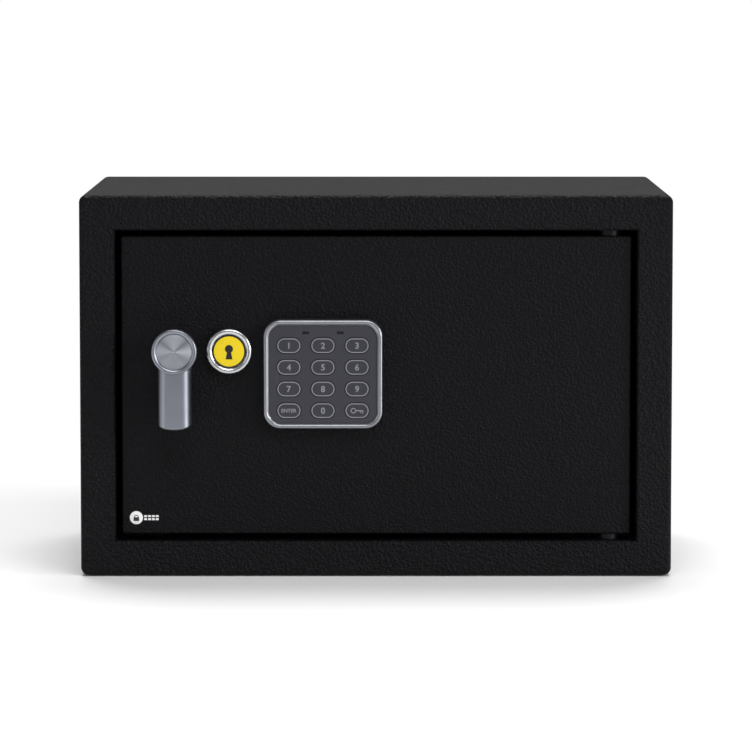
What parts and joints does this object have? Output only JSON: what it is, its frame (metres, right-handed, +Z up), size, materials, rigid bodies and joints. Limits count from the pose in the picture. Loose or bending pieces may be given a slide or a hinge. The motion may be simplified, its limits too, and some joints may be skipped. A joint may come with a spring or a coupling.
{
  "type": "in-room safe",
  "caption": "Compact hotel room safe: a black steel cabinet with a recessed door, keypad, lever handle, covered key lock and sliding bolts.",
  "frame": {"origin": "centre of the cabinet's base, on the surface that it stands on", "axes": "+X to the right seen from the front, the door faces -Y, +Z up"},
  "size_m": [0.31, 0.22, 0.2],
  "materials": {
    "cabinet_paint": "black textured powder coat",
    "door_paint": "black textured powder coat",
    "cover_paint": "black satin powder coat",
    "floor_felt": "needled felt",
    "print_white": "screen print",
    "plated_steel": "zinc plated",
    "bolt_steel": "ground and plated",
    "handle_metal": "satin",
    "turned_metal": "spun",
    "cap_chrome": "polished",
    "cap_yellow": "gloss",
    "lock_nickel": "nickel plated",
    "plug_brass": "machined",
    "bezel_metal": "satin",
    "fascia_grey": "fine matt",
    "key_grey": "fine matt",
    "lens_dark": "smoked",
    "board_green": "solder resist",
    "coil_tape": "wrapped tape",
    "spring_steel": "drawn wire",
    "tray_plastic": "moulded",
    "cell_sleeve": "printed sleeve",
    "contact_nickel": "nickel plated",
    "button_red": "moulded",
    "lead_sheath": "satin"
  },
  "bodies": {
    "cabinet": {"cabinet_shell": "cabinet_paint", "front_frame": "cabinet_paint", "back_panel": "cabinet_paint", "floor_mat": "floor_felt", "hinge_brackets": "cabinet_paint"},
    "door": {"door_plate": "door_paint", "door_mark": "print_white", "hinge_rail": "door_paint", "hinge_pins": "plated_steel", "hinge_spacers": "tray_plastic", "bolt_guide": "plated_steel", "guide_studs": "plated_steel", "handle_bush": "plug_brass", "lock_cylinder": "lock_nickel", "lock_nut": "lock_nickel", "keypad_housing": "bezel_metal", "keypad_fascia": "fascia_grey", "led_windows": "lens_dark", "keypad_board": "board_green", "keypad_screws": "plated_steel", "solenoid_frame": "plated_steel", "solenoid_coil": "coil_tape", "plunger_spring": "spring_steel", "inner_cover": "cover_paint", "cover_posts": "plated_steel", "cover_screws": "plated_steel", "battery_box": "tray_plastic", "batteries": "cell_sleeve", "battery_contacts": "contact_nickel", "control_board": "board_green", "wiring": "lead_sheath"},
    "handle": {"handle_lever": "handle_metal", "handle_disc": "turned_metal", "handle_spindle": "plated_steel", "crank": "plated_steel", "spindle_clip": "spring_steel"},
    "bolt_bar": {"bolts": "bolt_steel", "bolt_plate": "plated_steel", "bolt_screws": "plated_steel"},
    "key_cover": {"cap_ring": "cap_chrome", "cap_disc": "cap_yellow"},
    "key_plug": {"lock_plug": "plug_brass", "lock_cam": "plated_steel", "cam_screw": "plated_steel"},
    "plunger": {"solenoid_plunger": "plated_steel"},
    "reset": {"reset_button": "button_red"},
    "battery_lid": {"battery_cover": "tray_plastic"},
    "pad_1": {"key_1": "key_grey"},
    "pad_2": {"key_2": "key_grey"},
    "pad_3": {"key_3": "key_grey"},
    "pad_4": {"key_4": "key_grey"},
    "pad_5": {"key_5": "key_grey"},
    "pad_6": {"key_6": "key_grey"},
    "pad_7": {"key_7": "key_grey"},
    "pad_8": {"key_8": "key_grey"},
    "pad_9": {"key_9": "key_grey"},
    "pad_enter": {"key_enter": "key_grey"},
    "pad_0": {"key_0": "key_grey"},
    "pad_code": {"key_code": "key_grey"}
  },
  "joints": [
    {"name": "door_hinge", "type": "hinge", "parent": "cabinet", "child": "door", "pos_m": [0.1225, -0.089, 0.1], "axis": [0, 0, 1], "range_deg": [0, 115]},
    {"name": "handle_turn", "type": "hinge", "parent": "door", "child": "handle", "pos_m": [-0.1048, -0.1, 0.1195], "axis": [0, 1, 0], "range_deg": [0, 90]},
    {"name": "bolt_slide", "type": "slide", "parent": "door", "child": "bolt_bar", "axis": [-1, 0, 0], "range_m": [0, 0.01415]},
    {"name": "plunger_slide", "type": "slide", "parent": "door", "child": "plunger", "axis": [0, 0, -1], "range_m": [-0.004, 0], "stiffness_N_per_m": 60, "springref_m": -0.006, "deforming": ["plunger_spring"]},
    {"name": "key_cover_pull", "type": "slide", "parent": "door", "child": "key_cover", "axis": [0, -1, 0], "range_m": [0, 0.02]},
    {"name": "key_turn", "type": "hinge", "parent": "door", "child": "key_plug", "pos_m": [-0.0768, -0.098, 0.1183], "axis": [0, 1, 0], "range_deg": [0, 90]},
    {"name": "reset_press", "type": "slide", "parent": "door", "child": "reset", "axis": [0, -1, 0], "range_m": [0, 0.0008], "stiffness_N_per_m": 600},
    {"name": "battery_lid_pull", "type": "slide", "parent": "door", "child": "battery_lid", "axis": [0, 1, 0], "range_m": [0, 0.02]},
    {"name": "press_1", "type": "slide", "parent": "door", "child": "pad_1", "axis": [0, 1, 0], "range_m": [0, 0.0008], "stiffness_N_per_m": 600},
    {"name": "press_2", "type": "slide", "parent": "door", "child": "pad_2", "axis": [0, 1, 0], "range_m": [0, 0.0008], "stiffness_N_per_m": 600},
    {"name": "press_3", "type": "slide", "parent": "door", "child": "pad_3", "axis": [0, 1, 0], "range_m": [0, 0.0008], "stiffness_N_per_m": 600},
    {"name": "press_4", "type": "slide", "parent": "door", "child": "pad_4", "axis": [0, 1, 0], "range_m": [0, 0.0008], "stiffness_N_per_m": 600},
    {"name": "press_5", "type": "slide", "parent": "door", "child": "pad_5", "axis": [0, 1, 0], "range_m": [0, 0.0008], "stiffness_N_per_m": 600},
    {"name": "press_6", "type": "slide", "parent": "door", "child": "pad_6", "axis": [0, 1, 0], "range_m": [0, 0.0008], "stiffness_N_per_m": 600},
    {"name": "press_7", "type": "slide", "parent": "door", "child": "pad_7", "axis": [0, 1, 0], "range_m": [0, 0.0008], "stiffness_N_per_m": 600},
    {"name": "press_8", "type": "slide", "parent": "door", "child": "pad_8", "axis": [0, 1, 0], "range_m": [0, 0.0008], "stiffness_N_per_m": 600},
    {"name": "press_9", "type": "slide", "parent": "door", "child": "pad_9", "axis": [0, 1, 0], "range_m": [0, 0.0008], "stiffness_N_per_m": 600},
    {"name": "press_enter", "type": "slide", "parent": "door", "child": "pad_enter", "axis": [0, 1, 0], "range_m": [0, 0.0008], "stiffness_N_per_m": 600},
    {"name": "press_0", "type": "slide", "parent": "door", "child": "pad_0", "axis": [0, 1, 0], "range_m": [0, 0.0008], "stiffness_N_per_m": 600},
    {"name": "press_code", "type": "slide", "parent": "door", "child": "pad_code", "axis": [0, 1, 0], "range_m": [0, 0.0008], "stiffness_N_per_m": 600}
  ],
  "couplings": [
    {"joint": "bolt_slide", "follows": "handle_turn", "m_per_rad": 0.0090032}
  ]
}
